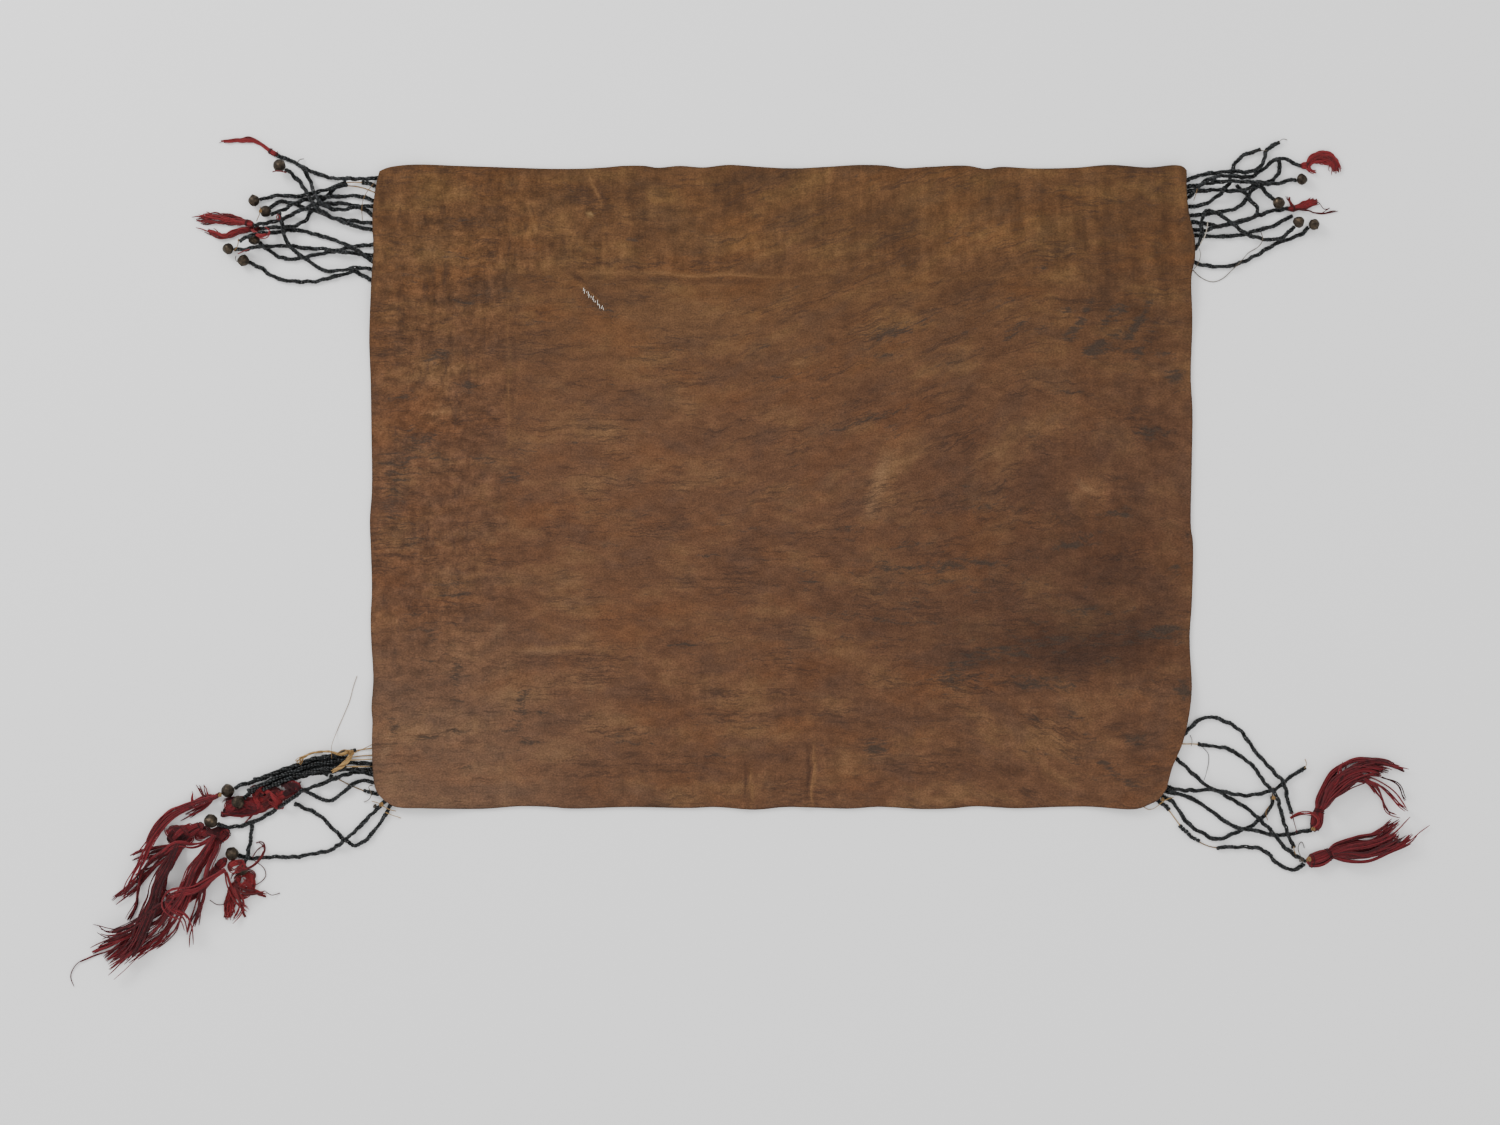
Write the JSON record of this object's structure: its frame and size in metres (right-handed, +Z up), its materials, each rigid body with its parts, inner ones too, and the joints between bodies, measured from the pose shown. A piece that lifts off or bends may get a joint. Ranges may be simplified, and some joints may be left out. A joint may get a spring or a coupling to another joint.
{
  "type": "beaded saddle blanket",
  "caption": "A brown leather saddle blanket lying flat on its beaded face, with strings of black beads, small round bells and red wool tassels at the corners",
  "frame": {"origin": "on the ground, under the middle of the leather sheet", "axes": "+X along the sheet's long side, +Y along its short side, +Z up out of its plain back"},
  "size_m": [1.36, 0.8484, 0.0228],
  "materials": {
    "leather": "matt napped hide, brown, streaked darker along its length",
    "beads": "small black glass beads on thread",
    "wool": "loose red wool yarn",
    "bell_brass": "dull brass, darkened with age",
    "twine": "tan plant-fibre twine, frayed at its end"
  },
  "bodies": {
    "root": {"leather_sheet": "leather", "bell_tl_1": "bell_brass", "bell_tl_2": "bell_brass", "bell_tl_3": "bell_brass", "wool_tl_3": "wool", "bell_tl_4": "bell_brass", "wool_tl_2": "wool", "bell_tl_5": "bell_brass", "wool_tl_1": "wool", "bell_tl_6": "bell_brass", "bead_strings_tl": "beads", "bell_tr_1": "bell_brass", "wool_tr_2": "wool", "bell_tr_2": "bell_brass", "bell_tr_3": "bell_brass", "bell_tr_4": "bell_brass", "wool_tr_1": "wool", "bead_strings_tr": "beads", "wool_br_1": "wool", "wool_br_2": "wool", "bead_strings_br": "beads", "bell_bl_1": "bell_brass", "wool_bl_6": "wool", "bell_bl_2": "bell_brass", "bell_bl_3": "bell_brass", "bell_bl_4": "bell_brass", "bell_bl_5": "bell_brass", "twine_bl": "twine", "wool_bl_2": "wool", "wool_bl_1": "wool", "wool_bl_4": "wool", "wool_bl_3": "wool", "wool_bl_5": "wool", "bead_strings_bl": "beads"}
  },
  "joints": []
}
